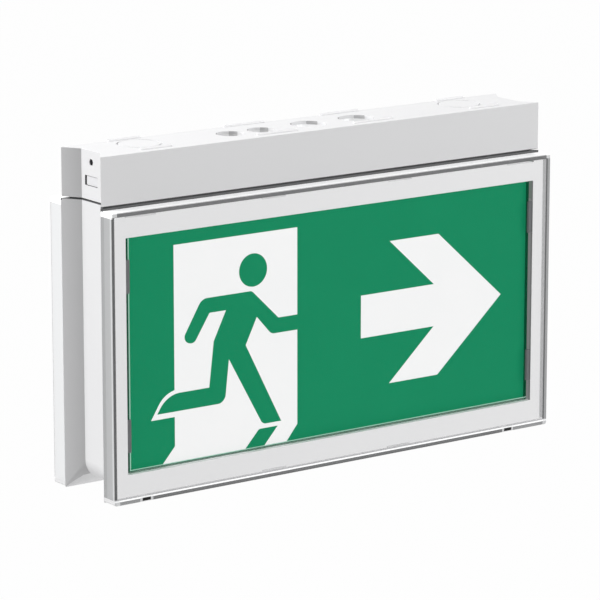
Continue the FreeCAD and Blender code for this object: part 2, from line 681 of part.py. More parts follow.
# ---------------------------------------------------------------- latches and end screws
def latch_button():
    """Left latch button: a nose in the end window and a collar behind the wall."""
    nose = latch_window(FIT)
    nose = nose.common(box(-NECK_WIDTH / 2 + LATCH_RECESS, 0, -HALF_DEPTH,
                           LATCH_WINDOW_WIDTH / 2 - LATCH_REAR_ROOM, -HOUSING_HEIGHT, 0))
    collar_front = -HOUSING_INNER_X + FIT
    half = LATCH_WINDOW_WIDTH / 2 + LATCH_COLLAR
    half_height = LATCH_WINDOW_HEIGHT / 2 + LATCH_COLLAR
    collar = box(collar_front, collar_front + LATCH_COLLAR_THICKNESS, -half, half,
                 -LATCH_Z - half_height, -LATCH_Z + half_height)
    return fused([nose, collar])


def spring_span():
    """X of the collar's back and of the tower's rear wall, at the left end."""
    collar_back = -HOUSING_INNER_X + FIT + LATCH_COLLAR_THICKNESS
    wall = -HOUSING_INNER_X + FIT + LATCH_DEPTH - LATCH_REAR_WALL
    return collar_back, wall


def latch_spring():
    """Left return spring: a flat strip folded to and fro between the cheeks."""
    start, end = spring_span()
    low = -LATCH_Z - SPRING_HEIGHT / 2
    high = low + SPRING_HEIGHT
    pitch = (end - start - SPRING_STRIP) / (SPRING_LEGS - 1)
    outer = (pitch + SPRING_STRIP) / 2
    straight = cheek_inner_y() - FIT - outer
    pieces = []
    for leg in range(SPRING_LEGS):
        x = start + leg * pitch
        pieces.append(box(x, x + SPRING_STRIP, -straight, straight, low, high))
    for fold in range(SPRING_LEGS - 1):
        x = start + SPRING_STRIP / 2 + (fold + 0.5) * pitch
        side = 1 if fold % 2 else -1
        ring = post(x, side * straight, outer, low, high)
        ring = ring.cut(post(x, side * straight, outer - SPRING_STRIP, low, high))
        y0, y1 = sorted((side * straight, side * (straight + outer)))
        pieces.append(ring.common(box(x - outer, x + outer, y0, y1, low, high)))
    return fused(pieces)


def end_screw():
    """Left locking screw, its head sunk in the housing's end face."""
    seat = -NECK_WIDTH / 2 + HOUSING_WALL / 2
    tip = Vector(seat + END_SCREW_LENGTH, 0, -END_SCREW_Z)
    return screw(tip, Vector(-1, 0, 0), END_SCREW_RADIUS, END_HEAD_RADIUS, END_SCREW_LENGTH,
                 HOUSING_WALL / 4)


# ---------------------------------------------------------------- light source
def light_guide():
    """Clear edge-lit plate between the two legends."""
    half = guide_half_width()
    radius = NECK_CORNER
    corners = [(-half, GUIDE_TOP, GUIDE_CORNER), (half, GUIDE_TOP, GUIDE_CORNER),
               (half, NECK_FLOOR + BODY_WALL, radius), (-half, NECK_FLOOR + BODY_WALL, radius)]
    return slab(corners, -GUIDE_THICKNESS / 2, GUIDE_THICKNESS / 2)


def led_board():
    """Strip of circuit board under the roof."""
    strip = centred_box(0, 0, LED_BOARD_LENGTH, LED_BOARD_WIDTH, ROOF_UNDERSIDE - BOARD,
                        ROOF_UNDERSIDE)
    holes = [post(x, 0, SMALL_SCREW_RADIUS + SNUG, ROOF_UNDERSIDE - BOARD - CUT,
                  ROOF_UNDERSIDE + CUT) for x in led_screw_points()]
    return strip.cut(holes)


def led_chips():
    """LEDs in a row on the underside of the strip."""
    pitch = LED_BOARD_LENGTH / LED_COUNT
    first = -LED_BOARD_LENGTH / 2 + pitch / 2
    return [centred_box(first + index * pitch, 0, LED_SIZE, LED_SIZE, LED_FACE,
                        ROOF_UNDERSIDE - BOARD) for index in range(LED_COUNT)]


def led_board_screws():
    """Screws that hold the strip up to the roof."""
    length = BOARD + BODY_WALL
    screws = []
    for x in led_screw_points():
        screws.append(screw(Vector(x, 0, BODY_TOP), Vector(0, 0, -1), SMALL_SCREW_RADIUS,
                            SMALL_HEAD_RADIUS, length, LED_HEIGHT))
    return screws


# ---------------------------------------------------------------- driver and battery
def driver_board():
    """Circuit board on the roof, with corner holes."""
    board = box(DRIVER_LEFT, DRIVER_RIGHT, -DRIVER_WIDTH / 2, DRIVER_WIDTH / 2,
                BODY_TOP + TRAY_ROOM, DRIVER_BOARD_TOP)
    holes = [post(x, y, SMALL_SCREW_RADIUS + SNUG, BODY_TOP, DRIVER_BOARD_TOP + CUT)
             for x, y in driver_standoffs()]
    return board.cut(holes)


def driver_board_screws():
    """Screws that hold the driver board."""
    length = BOARD + TRAY_ROOM + BODY_WALL / 2
    screws = []
    for x, y in driver_standoffs():
        tip = Vector(x, y, DRIVER_BOARD_TOP - length)
        screws.append(screw(tip, Vector(0, 0, 1), SMALL_SCREW_RADIUS, SMALL_HEAD_RADIUS, length,
                            SMALL_HEAD_HEIGHT))
    return screws


def driver_transformer():
    """Ferrite core with a wound bobbin through it."""
    size_x, size_y, height = TRANSFORMER_SIZE
    core = centred_box(TRANSFORMER_X, 0, size_x, size_y * CORE_SHARE, DRIVER_BOARD_TOP,
                       DRIVER_BOARD_TOP + height)
    winding = centred_box(TRANSFORMER_X, 0, size_x * WINDING_SHARE, size_y, DRIVER_BOARD_TOP,
                          DRIVER_BOARD_TOP + height - CUT)
    winding = winding.makeFillet(WINDING_CORNER, [edge for edge in winding.Edges
                                                  if abs(edge.tangentAt(0).z) > 0.9])
    return fused([core, winding])


def driver_capacitors():
    """Electrolytic capacitors beside the transformer."""
    capacitors = []
    first = TRANSFORMER_X - TRANSFORMER_SIZE[0] / 2 - CAPACITOR_ROOM - CAPACITOR_RADIUS
    for x in (first, first - 2 * CAPACITOR_RADIUS - CAPACITOR_ROOM):
        capacitors.append(post(x, 0, CAPACITOR_RADIUS, DRIVER_BOARD_TOP,
                               DRIVER_BOARD_TOP + CAPACITOR_HEIGHT))
    return capacitors


def driver_chips():
    """Flat packages on the driver board."""
    size_x, size_y, height = CHIP_SIZE
    beside_core = TRANSFORMER_X + TRANSFORMER_SIZE[0] / 2 + CHIP_ROOM + size_x / 2
    beside_header = HEADER_X + HEADER_SIZE[0] / 2 + CHIP_ROOM + size_x / 2
    places = [(beside_core, CHIP_Y), (beside_core, -CHIP_Y), (beside_header, -CHIP_Y)]
    return [centred_box(x, y, size_x, size_y, DRIVER_BOARD_TOP, DRIVER_BOARD_TOP + height)
            for x, y in places]


def contact_x():
    """Centres of the header's contacts and of their holes in the connector."""
    return [HEADER_X + step * CONTACT_PITCH for step in (-1, 0, 1)]


def board_header():
    """Open-topped socket on the driver board with a row of contacts."""
    size_x, size_y = HEADER_SIZE
    shell = centred_box(HEADER_X, 0, size_x, size_y, DRIVER_BOARD_TOP,
                        DRIVER_BOARD_TOP + HEADER_HEIGHT)
    hollow = centred_box(HEADER_X, 0, size_x - 2 * HEADER_WALL, size_y - 2 * HEADER_WALL,
                         DRIVER_BOARD_TOP + HEADER_WALL, DRIVER_BOARD_TOP + HEADER_HEIGHT + CUT)
    pins = [post(x, 0, CONTACT_RADIUS, DRIVER_BOARD_TOP,
                 DRIVER_BOARD_TOP + HEADER_HEIGHT - CONTACT_TIP_ROOM) for x in contact_x()]
    return fused([shell.cut(hollow)] + pins)


def housing_connector():
    """Plug that hangs from the housing's ceiling into the header."""
    size_x, size_y = HEADER_SIZE
    mouth = DRIVER_BOARD_TOP + HEADER_HEIGHT - CONNECTOR_ENGAGE
    room = 2 * (HEADER_WALL + FIT)
    neck = centred_box(HEADER_X, 0, size_x - room, size_y - room, mouth, -HOUSING_TOP)
    base = centred_box(HEADER_X, 0, size_x + 2 * CONNECTOR_LUG, size_y + 2 * CONNECTOR_LIP,
                       DRIVER_BOARD_TOP + HEADER_HEIGHT + FIT, -HOUSING_TOP)
    holes = [post(x, 0, CONTACT_RADIUS + CONTACT_ROOM, mouth - CUT, mouth + CONNECTOR_ENGAGE)
             for x in contact_x()]
    return fused([neck, base]).cut(holes)


def led_link():
    """Board-to-board link from the driver board down to the LED board."""
    return centred_box(LINK_X, 0, LINK_SIZE[0], LINK_SIZE[1], ROOF_UNDERSIDE,
                       BODY_TOP + TRAY_ROOM)


def battery_profile(radius, x):
    """Shrink-wrapped outline of two cells side by side, resting on the roof."""
    centre = BODY_TOP + radius
    left = Part.Arc(Vector(x, -radius, centre + radius), Vector(x, -2 * radius, centre),
                    Vector(x, -radius, centre - radius)).toShape()
    right = Part.Arc(Vector(x, radius, centre - radius), Vector(x, 2 * radius, centre),
                     Vector(x, radius, centre + radius)).toShape()
    low = Part.LineSegment(Vector(x, -radius, centre - radius),
                           Vector(x, radius, centre - radius)).toShape()
    high = Part.LineSegment(Vector(x, radius, centre + radius),
                            Vector(x, -radius, centre + radius)).toShape()
    return Part.Wire([left, low, right, high])


def battery_pack():
    """Sealed pack of four cells, two side by side and two long."""
    profile = Part.Face(battery_profile(CELL_RADIUS, BATTERY_LEFT))
    return profile.extrude(Vector(BATTERY_LENGTH, 0, 0))


def battery_clips():
    """Spring straps over the pack, with feet on the roof."""
    clips = []
    for x in (BATTERY_LEFT + CLIP_STRAP_INSET, BATTERY_RIGHT - CLIP_STRAP_INSET):
        start = x - CLIP_STRAP_WIDTH / 2
        low = BODY_TOP
        reach = 2 * CELL_RADIUS + CLIP_STRAP
        outer = box(start, start + CLIP_STRAP_WIDTH, -reach, reach, low,
                    low + 2 * CELL_RADIUS + CLIP_STRAP)
        rounded = outer.makeFillet(CELL_RADIUS, [edge for edge in outer.Edges
                                                 if edge.BoundBox.XLength > CUT
                                                 and edge.BoundBox.ZMin > low + CELL_RADIUS])
        core = box(start - CUT, start + CLIP_STRAP_WIDTH + CUT, -2 * CELL_RADIUS, 2 * CELL_RADIUS,
                   low - CUT, low + CELL_RADIUS)
        cells = Part.Face(battery_profile(CELL_RADIUS, start - CUT)).extrude(
            Vector(CLIP_STRAP_WIDTH + 2 * CUT, 0, 0))
        clips.append(rounded.cut([core, cells]))
    return clips


# ---------------------------------------------------------------- border frames and legends
def frame_corners(inset):
    """Outline of the border frame inside the cover, drawn in by a distance."""
    return rectangle(RIM_WIDTH / 2 - COVER_INSET - inset, COVER_BOTTOM + COVER_INSET + inset,
                     COVER_TOP - COVER_INSET - inset)


def clip_profile(side, room=0.0):
    """One legend clip: a nose over the plate and a tail through the window's wall."""
    nose = PLATE_HALF_WIDTH - CLIP_NOSE
    tail = WINDOW_WIDTH / 2 + FRAME_INNER_WALL + CLIP_THICKNESS
    y_back = LEGEND_FRONT
    y_front = LEGEND_FRONT - CLIP_THICKNESS
    x0, x1 = sorted((side * nose, side * tail))
    return x0 - room, x1 + room, y_front - room, y_back + room


def clip_solids(room=0.0):
    """The four clips of the front legend, or the cutters of their slots."""
    clips = []
    for side in (-1, 1):
        x0, x1, y0, y1 = clip_profile(side, room)
        for z in (-CLIP_Z, CLIP_Z):
            middle = -WINDOW_CENTRE + z
            clip = box(x0, x1, y0, y1, middle - CLIP_HEIGHT / 2 - room,
                       middle + CLIP_HEIGHT / 2 + room)
            if room == 0:
                nose_edges = [edge for edge in clip.Edges
                              if abs(abs(edge.CenterOfMass.x) - (PLATE_HALF_WIDTH - CLIP_NOSE))
                              < TOUCH and edge.CenterOfMass.y < y0 + TOUCH]
                clip = clip.makeChamfer(CLIP_THICKNESS / 2, nose_edges)
            clips.append(clip)
    return clips


def snap_places():
    """(x, width, direction) of each snap: two above, two below and two upper corners."""
    corner_x = RIM_WIDTH / 2 - CORNER_SNAP_INSET
    places = []
    for end in (-1, 1):
        places.append((end * SNAP_X, SNAP_WIDTH, 1))
        places.append((end * SNAP_X, SNAP_WIDTH, -1))
        places.append((end * corner_x, CORNER_SNAP_WIDTH, 1))
    return places


def snap_solid(x, width, direction, room):
    """Snap rib on the cover's inner wall, or the channel that it runs in."""
    wall = COVER_TOP - COVER_WALL if direction > 0 else COVER_BOTTOM + COVER_WALL
    reach = wall - direction * (SNAP_RISE + room)
    z0, z1 = sorted((wall + direction * SNAP_RISE, reach))
    y0 = FRAME_FRONT - CUT if room else COVER_FACE + COVER_PLATE
    y1 = -HALF_DEPTH + CUT if room else COVER_OPEN_EDGE
    return centred_box(x, (y0 + y1) / 2, width + 2 * room, y1 - y0, z0, z1)


def front_frame():
    """White border frame: a channel section round the window, with a ledge for the legend."""
    body = slab(frame_corners(0), FRAME_FRONT, -HALF_DEPTH)
    channel = slab(frame_corners(FRAME_SKIRT), FRAME_FRONT + FRAME_FACE, -HALF_DEPTH + CUT)
    channel = channel.cut(slab(window_corners(FRAME_INNER_WALL), FRAME_FRONT, -HALF_DEPTH + CUT))
    window = slab(window_corners(0), FRAME_FRONT - CUT, LEGEND_BACK)
    light_opening = slab(window_corners(-FRAME_LEDGE_WIDTH), FRAME_FRONT, -HALF_DEPTH + CUT)
    across = Vector(0, 1, 0)
    pegs = []
    for x, z in peg_points():
        start = Vector(x, FRAME_FRONT + FRAME_FACE / 2, z)
        length = -HALF_DEPTH + BODY_WALL - start.y
        pegs.append(rod_along(across, start, FRAME_PEG_RADIUS, length))
    body = body.cut([channel, window, light_opening])
    body = fused([body] + pegs)
    tools = clip_solids(SNUG)
    tools += [snap_solid(x, width, direction, FIT) for x, width, direction in snap_places()]
    return body.cut(tools)


def plate_corners():
    """Outline of the legend plate, its print and its opal sheet."""
    return rectangle(PLATE_HALF_WIDTH, -WINDOW_CENTRE - PLATE_HALF_HEIGHT,
                     -WINDOW_CENTRE + PLATE_HALF_HEIGHT)


def legend_plate():
    """Clear plate over the print."""
    return slab(plate_corners(), LEGEND_FRONT, LEGEND_FRONT + LEGEND_PLATE)


def opal_sheet():
    """Opal sheet behind the print, seen as its white fields."""
    return slab(plate_corners(), LEGEND_BACK - OPAL_SHEET, LEGEND_BACK)


def placed(corners, x_origin):
    """Pictogram corners about a point on the legend's centre line, moved into the part."""
    return [(x_origin + x * PICTOGRAM_MODULE, -WINDOW_CENTRE + z * PICTOGRAM_MODULE,
             radius * PICTOGRAM_MODULE) for x, z, radius in corners]


def print_layer(corners, x_origin):
    """A field of the print, one print layer thick."""
    y0 = LEGEND_FRONT + LEGEND_PLATE
    return slab(placed(corners, x_origin), y0, y0 + PRINT)


DOORWAY = [(0, 65.4, 0), (94.7, 65.4, 0), (94.7, -63.4, 0), (85.9, -74, 0), (-9.6, -74, 0),
           (0, -63.4, 0)]
FOOT_SURROUND = [(6, -26.9, 0), (6, -44.5, 0), (-17.8, -44.5, 0), (-6.8, -26.9, 18)]
FIGURE = [(21.2, 28.5, 7.4), (59.2, 28.5, 3), (79.8, 8.6, 1), (96.2, 8.6, 0), (96.2, -1.2, 0),
          (74.3, -1.2, 5), (63, 11.4, 0), (54.3, -5.9, 0), (81.8, -59.3, 0), (67.4, -59.3, 4.3),
          (41.4, -13, 0), (38.2, -41, 6), (-12.9, -41, 0), (-5.6, -29.4, 18), (26.4, -29.4, 0),
          (30, 0, 0), (39.5, 18.8, 0), (26.8, 18.8, 1), (14.9, 0.5, 4.2), (5.6, 2.7, 4.2)]
SHADOW = [(79, -62.2, 0), (68.2, -74, 0), (53.6, -74, 0), (64.6, -62.2, 3)]
HEAD = (60.3, 41.9, 10.7)
HALF_ARROW = [(-53, 47.4, 0), (-93.2, 47.4, 0), (-56.7, 14.2, 0), (-116.2, 14.2, 0)]


def arrow_corners():
    """The arrow about its tip, from its upper half."""
    lower = [(x, -z, radius) for x, z, radius in reversed(HALF_ARROW)]
    return [(0, 0, 0)] + HALF_ARROW + lower


def legend_green():
    """Green print: the field less the doorway and the arrow, with the running figure."""
    door = -PLATE_HALF_WIDTH + DOOR_FROM_EDGE
    tip = PLATE_HALF_WIDTH - TIP_FROM_EDGE
    y0 = LEGEND_FRONT + LEGEND_PLATE
    field = slab(plate_corners(), y0, y0 + PRINT)
    white = [print_layer(DOORWAY, door), print_layer(FOOT_SURROUND, door),
             print_layer(arrow_corners(), tip)]
    head_x, head_z, head_radius = [value * PICTOGRAM_MODULE for value in HEAD]
    head = rod_along(Vector(0, 1, 0), Vector(door + head_x, y0, -WINDOW_CENTRE + head_z),
                     head_radius, PRINT)
    shadow = print_layer(SHADOW, door).common(field)
    figure = print_layer(FIGURE, door)
    return fused([field.cut(white), figure]).fuse([head, shadow]).Solids


# ---------------------------------------------------------------- covers
def front_cover():
    """Clear tray over the front legend, with snap ribs and two release slots below."""
    outer = slab(rectangle(RIM_WIDTH / 2, COVER_BOTTOM, COVER_TOP, COVER_EDGE), COVER_FACE,
                 COVER_OPEN_EDGE)
    face_edges = [edge for edge in outer.Edges if edge.BoundBox.YMax < COVER_FACE + TOUCH]
    outer = outer.makeChamfer(COVER_EDGE / 2, face_edges)
    inner = slab(rectangle(RIM_WIDTH / 2 - COVER_WALL, COVER_BOTTOM + COVER_WALL,
                           COVER_TOP - COVER_WALL), COVER_FACE + COVER_PLATE,
                 COVER_OPEN_EDGE + CUT)
    shell = outer.cut(inner)
    ribs = [snap_solid(x, width, direction, 0) for x, width, direction in snap_places()]
    shell = fused([shell] + ribs)
    slots = []
    for end in (-1, 1):
        slot_x = end * (RIM_WIDTH / 2 - RELEASE_SLOT_INSET)
        slots.append(centred_box(slot_x, COVER_OPEN_EDGE, RELEASE_SLOT_WIDTH,
                                 2 * RELEASE_SLOT_DEPTH, COVER_BOTTOM - CUT,
                                 COVER_BOTTOM + COVER_WALL + CUT))
    return shell.cut(slots)


# ---------------------------------------------------------------- the parts folder
def as_list(pieces):
    """A list of solids from one shape or several."""
    return pieces if isinstance(pieces, list) else [pieces]


def all_nodes():
    """Every node's name and its solids."""
    nodes = {
        "mounting_housing": mounting_housing(),
        "cable_anchor_bars": cable_anchor_bars(),
        "cable_anchor_screws": cable_anchor_screws(),
        "terminal_block": terminal_block(),
        "terminal_brass": terminal_brass(),
        "terminal_screws": terminal_screws(),
        "housing_connector": housing_connector(),
        "sign_body": sign_body(),
        "light_guide": light_guide(),
        "led_board": led_board(),
        "led_chips": led_chips(),
        "led_board_screws": led_board_screws(),
        "driver_board": driver_board(),
        "driver_board_screws": driver_board_screws(),
        "driver_transformer": driver_transformer(),
        "driver_capacitors": driver_capacitors(),
        "driver_chips": driver_chips(),
        "board_header": board_header(),
        "led_link": led_link(),
        "battery_pack": battery_pack(),
        "battery_clips": battery_clips(),
        "end_screws": both_ends(end_screw()),
    }
    button = latch_button()
    spring = latch_spring()
    for name, piece in (("button", button), ("spring", spring)):
        nodes["latch_" + name + "_left"] = piece
        nodes["latch_" + name + "_right"] = to_right(piece)
    sided = {"frame": front_frame(), "legend_plate": legend_plate(), "legend_green": legend_green(),
             "legend_white": opal_sheet(), "legend_clips": clip_solids(), "cover": front_cover()}
    for name, pieces in sided.items():
        nodes["front_" + name] = pieces
        nodes["rear_" + name] = [to_rear(piece) for piece in as_list(pieces)]
    return nodes


for node, pieces in all_nodes().items():
    solids = [solid for piece in as_list(pieces) for solid in piece.Solids]
    shape = solids[0] if len(solids) == 1 else Part.makeCompound(solids)
    if not shape.isValid():
        print("not valid:", node)
    shape.exportStep("parts/" + node + ".step")
    print(node, len(solids), round(shape.Volume))
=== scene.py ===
# %% [markdown]
# # Dressing a ceiling exit light
# The sign is a white moulded housing for the ceiling, a white sign unit below it, and a clear cover
# over the legend on each side. Its solids come ready made, at their real size and in their real
# places. This lesson gives every piece the finish that it has on the real sign, softens the moulded
# edges, and sets up a studio to look at it in. Lengths are in metres.

import json
import math

import bpy
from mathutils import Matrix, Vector


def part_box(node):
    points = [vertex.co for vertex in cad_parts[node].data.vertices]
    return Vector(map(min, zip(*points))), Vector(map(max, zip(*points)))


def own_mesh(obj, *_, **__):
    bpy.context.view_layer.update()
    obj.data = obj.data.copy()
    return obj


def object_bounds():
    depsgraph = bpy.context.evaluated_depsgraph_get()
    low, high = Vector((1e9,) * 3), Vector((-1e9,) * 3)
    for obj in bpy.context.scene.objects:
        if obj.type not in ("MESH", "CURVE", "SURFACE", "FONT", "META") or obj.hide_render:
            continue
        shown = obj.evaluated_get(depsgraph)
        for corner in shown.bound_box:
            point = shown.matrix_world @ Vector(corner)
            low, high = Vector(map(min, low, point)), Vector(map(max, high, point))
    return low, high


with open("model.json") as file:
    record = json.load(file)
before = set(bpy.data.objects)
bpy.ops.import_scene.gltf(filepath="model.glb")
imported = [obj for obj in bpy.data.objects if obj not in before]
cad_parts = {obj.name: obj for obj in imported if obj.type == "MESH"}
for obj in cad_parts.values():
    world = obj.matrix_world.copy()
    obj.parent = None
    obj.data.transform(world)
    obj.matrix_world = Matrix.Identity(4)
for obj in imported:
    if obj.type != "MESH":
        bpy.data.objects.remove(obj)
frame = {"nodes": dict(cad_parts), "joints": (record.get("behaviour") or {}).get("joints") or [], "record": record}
nodes = frame["nodes"]
solid_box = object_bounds()
MM = 0.001

# %% [markdown]
# ## A small language for materials
# A material is a tree of nodes, and a long tree is hard to read when each link is made by hand.
# The class below wraps a node's output, so that it can be added and multiplied like a number. An
# expression such as `1 - mask * 0.2` then adds the maths nodes that it needs. Every other kind
# of node comes from one method, `Finish.node`, which sets the node up before it links its inputs.


# %% Sockets that behave like numbers
def plug(tree, value, socket):
    """Links a wrapped output to a socket, or writes a plain value on it."""
    if isinstance(value, Wire):
        tree.links.new(value.socket, socket)
    elif value is not None:
        socket.default_value = value


class Wire:
    """A node's output that can be used in sums."""

    def __init__(self, tree, socket):
        self.tree = tree
        self.socket = socket

    def _sum(self, operation, first, second):
        node = self.tree.nodes.new("ShaderNodeMath")
        node.operation = operation
        plug(self.tree, first, node.inputs[0])
        plug(self.tree, second, node.inputs[1])
        return Wire(self.tree, node.outputs[0])

    def __add__(self, other):
        return self._sum("ADD", self, other)

    def __radd__(self, other):
        return self._sum("ADD", other, self)

    def __sub__(self, other):
        return self._sum("SUBTRACT", self, other)

    def __rsub__(self, other):
        return self._sum("SUBTRACT", other, self)

    def __mul__(self, other):
        return self._sum("MULTIPLY", self, other)

    def __rmul__(self, other):
        return self._sum("MULTIPLY", other, self)

    def __gt__(self, other):
        return self._sum("GREATER_THAN", self, other)

    def __lt__(self, other):
        return self._sum("LESS_THAN", self, other)

    def __abs__(self):
        return self._sum("ABSOLUTE", self, None)


def between(value, low, high):
    """1 where a value is inside a range and 0 elsewhere."""
    return (value > low) * (value < high)


print("sockets can now be added and multiplied")


# %% A material under construction
finishes = {}


class Finish:
    """A new material with its Principled shader, and one method that adds any other node."""

    def __init__(self, name):
        self.material = bpy.data.materials.new(name)
        finishes[name] = self.material
        self.material.use_nodes = True
        self.tree = self.material.node_tree
        self.shader = self.tree.nodes["Principled BSDF"]
        self.place = self.node("ShaderNodeTexCoord", output="Object")
        self.x, self.y, self.z = self.axes(self.place)
        facing = self.node("ShaderNodeTexCoord", output="Normal")
        self.facing_x, self.facing_y, self.facing_z = self.axes(facing)

    def node(self, kind, settings=None, inputs=None, output=0):
        """Adds a node: its settings first, then its inputs by name or number."""
        new = self.tree.nodes.new(kind)
        for key, value in (settings or {}).items():
            setattr(new, key, value)
        for key, value in (inputs or {}).items():
            plug(self.tree, value, new.inputs[key])
        return Wire(self.tree, new.outputs[output])

    def axes(self, vector):
        """The three parts of a vector, as numbers."""
        split = self.node("ShaderNodeSeparateXYZ", inputs={0: vector})
        return [Wire(self.tree, output) for output in split.socket.node.outputs]

    def noise(self, size, detail):
        """Soft random values whose lumps are about this many metres wide."""
        return self.node("ShaderNodeTexNoise",
                         inputs={"Vector": self.place, "Scale": 1 / size, "Detail": detail})

    def blend(self, factor, first, second):
        """A colour between two others; a Mix node's colours are its inputs 6 and 7."""
        return self.node("ShaderNodeMix", {"data_type": "RGBA"},
                         {0: factor, 6: first, 7: second}, output=2)

    def bump(self, height, depth, strength):
        """Surface relief of a real depth in metres."""
        return self.node("ShaderNodeBump", inputs={"Height": height, "Distance": depth,
                                                   "Strength": strength})

    def set(self, **values):
        """Writes or links sockets of the shader; spaces in their names are underscores."""
        for key, value in values.items():
            plug(self.tree, value, self.shader.inputs[key.replace("_", " ")])


print("finishes can now be made")

# %% [markdown]
# ## Colours
# Colours are easier to judge on the scale from 0 to 255 that a screen uses, but shaders work with
# linear light, so each one is converted. Nearly all of this sign is white and grey plastic with a
# slight cool cast, and one helper gives those.

# %% Screen colours
WHITE = (1, 1, 1, 1)
BLACK = (0, 0, 0, 1)


def linear(red, green, blue):
    """A screen colour from 0 to 255 as the linear colour that shaders use."""
    def channel(value):
        value /= 255
        return value / 12.92 if value <= 0.04045 else ((value + 0.055) / 1.055) ** 2.4
    return (channel(red), channel(green), channel(blue), 1.0)


def grey(level):
    """A cool grey."""
    return linear(level, level + 1, level + 2)


def darker(colour, share):
    """The same colour with less light."""
    return tuple(channel * share for channel in colour[:3]) + (1.0,)


print("grey 118 is", [round(channel, 3) for channel in grey(118)])

# %% [markdown]
# ## White mouldings
# The housing, the sign unit's body and the border frames are injection moulded. The tool's surface
# is spark eroded, which leaves a very fine even grain and a satin sheen. A grain this fine shows
# as soft highlights and not as lumps, so it is a shallow bump, with a slow change of roughness over
# the part, as real mouldings have where the plastic cooled at different rates.

# %% Moulded plastic
GRAIN = 0.35 * MM
GRAIN_DEPTH = 0.004 * MM
GRAIN_STRENGTH = 0.6
COOLING = 60 * MM
COOLING_TINT = 0.985
COOLING_ROUGHNESS = 0.08
PLASTIC_IOR = 1.5


def moulded(name, colour, roughness, layers=None, glow=None):
    """A moulding. Its layers and its (glow colour, strength) come from functions of the finish."""
    finish = Finish(name)
    grain = finish.noise(GRAIN, 1.0)
    cooling = finish.noise(COOLING, 1.0)
    tint = finish.blend(cooling, colour, darker(colour, COOLING_TINT))
    for mask, over in layers(finish) if layers else []:
        tint = finish.blend(mask, tint, over)
    finish.set(Base_Color=tint,
               Roughness=roughness - COOLING_ROUGHNESS / 2 + cooling * COOLING_ROUGHNESS,
               Normal=finish.bump(grain, GRAIN_DEPTH, GRAIN_STRENGTH), IOR=PLASTIC_IOR)
    if glow:
        glow_colour, strength = glow
        finish.set(Emission_Color=glow_colour(finish), Emission_Strength=strength)


print("grain", GRAIN / MM, "mm wide and", GRAIN_DEPTH / MM, "mm deep")

# %% [markdown]
# ## Shadows that belong to the shape
# Some places on the mouldings stay dark in any light: the seam under the housing, the walls of the
# small windows, and the inner corner of each slanted flare. In a bright studio a ray tracer fills
# them with too much light, so they are painted a little darker. Each mask is worked out from the
# place of a point and the boxes of the pieces, so it holds from every side.

# %% The flares and the seam
FLARE_RISE = 11.5 * MM
SEAM_SHADE = grey(104)
housing_low, housing_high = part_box("mounting_housing")
COVER_RIM_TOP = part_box("front_cover")[1][2]
SEAM_TOP = housing_low[2] - 0.9 * MM
LEDGE_Y = 18.2 * MM
LEDGE_X = 160.6 * MM


def flare_painted_shade(finish):
    """The slanted flares: painted shade over the whole flare, deeper towards their inner corner."""
    flare = (abs(finish.facing_x) > 0.5) * (abs(finish.facing_y) > 0.4)
    inward = (housing_high[1] - abs(finish.y)) * (1 / FLARE_RISE)
    return [(flare, linear(218, 218, 219)), (flare * inward, linear(196, 196, 197))]


def shadow_seam(finish):
    """The thin edge of the sign unit under the housing, which lies in its shadow."""
    wide_side = between(finish.z, COVER_RIM_TOP - 0.3 * MM, SEAM_TOP)
    wide_side = wide_side * (abs(finish.y) > 22.0 * MM)
    rim = (abs(finish.y) > LEDGE_Y) + (abs(finish.x) > LEDGE_X)
    ledge = between(finish.z, SEAM_TOP - 0.4 * MM, SEAM_TOP + 5.5 * MM) * (rim > 0.5)
    return [((wide_side + ledge) > 0.5, SEAM_SHADE)]


def body_layers(finish):
    """Everything that is painted on the sign unit's body."""
    return flare_painted_shade(finish) + shadow_seam(finish)


print("the seam's top is at", round(SEAM_TOP / MM, 2), "mm")

# %% The housing's windows and lower edge
latch_low, latch_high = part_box("latch_button_right")
WINDOW_WALL = (latch_high[0] - 1.8 * MM, latch_high[0] + 0.3 * MM)
WINDOW_ROOM = 0.6 * MM
COLLAR_FRONT = latch_high[0] - 1.4 * MM


def housing_layers(finish):
    """The flares' painted shade, and painted shade along the lowest edge of the wide faces and on the latch
    windows' walls.
    """
    edge = (finish.z < housing_low[2] + 0.3 * MM) * (abs(finish.y) > housing_high[1] - 0.6 * MM)
    window = between(abs(finish.x), *WINDOW_WALL)
    window = window * between(finish.z, latch_low[2], latch_high[2])
    window = window * between(finish.y, latch_low[1] - WINDOW_ROOM, latch_high[1] + WINDOW_ROOM)
    return flare_painted_shade(finish) + [(edge, grey(122)), (window, grey(66))]


def latch_collar_shade(finish):
    """Painted shade on the latch's collar behind the housing's wall, where it is seen through the finger gap."""
    return [(abs(finish.x) < COLLAR_FRONT, grey(52))]


print("the latch window's wall is at", [round(x / MM, 1) for x in WINDOW_WALL], "mm")

# %% The legend window's walls
plate_low, plate_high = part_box("front_legend_plate")
LUG_FREE = 12 * MM


def window_wall_shade(finish):
    """The legend window's side walls, deep and narrow: painted shade, and a painted green reflection beside the
    plate's end.
    """
    wall = between(abs(finish.x), plate_high[0] + 1.5 * MM, plate_high[0] + 2.5 * MM)
    wall = wall * (abs(finish.facing_x) > 0.7)
    deep = abs(finish.y) < -plate_low[1] + 0.3 * MM
    above_lug = finish.z > plate_high[2] - LUG_FREE
    return [(wall, grey(74)), (wall * deep, grey(118)),
            (wall * deep * above_lug, linear(12, 88, 58))]


print("the plate ends at", round(plate_high[0] / MM, 1), "mm")

# %% [markdown]
# ## Light inside the housing
# A faint glow on the inner faces stands in for those bounces, so that the entries look pale and
# deep.

# %% Glow of the inner faces
END_WALL = 8.7 * MM
SIDE_WALL = 1.2 * MM
BAR_HEIGHTS = (-9.5 * MM, -5.5 * MM)
INNER_SHARE = 0.5
ENTRY_SHARE = 0.7
RIB_SHARE = 0.3


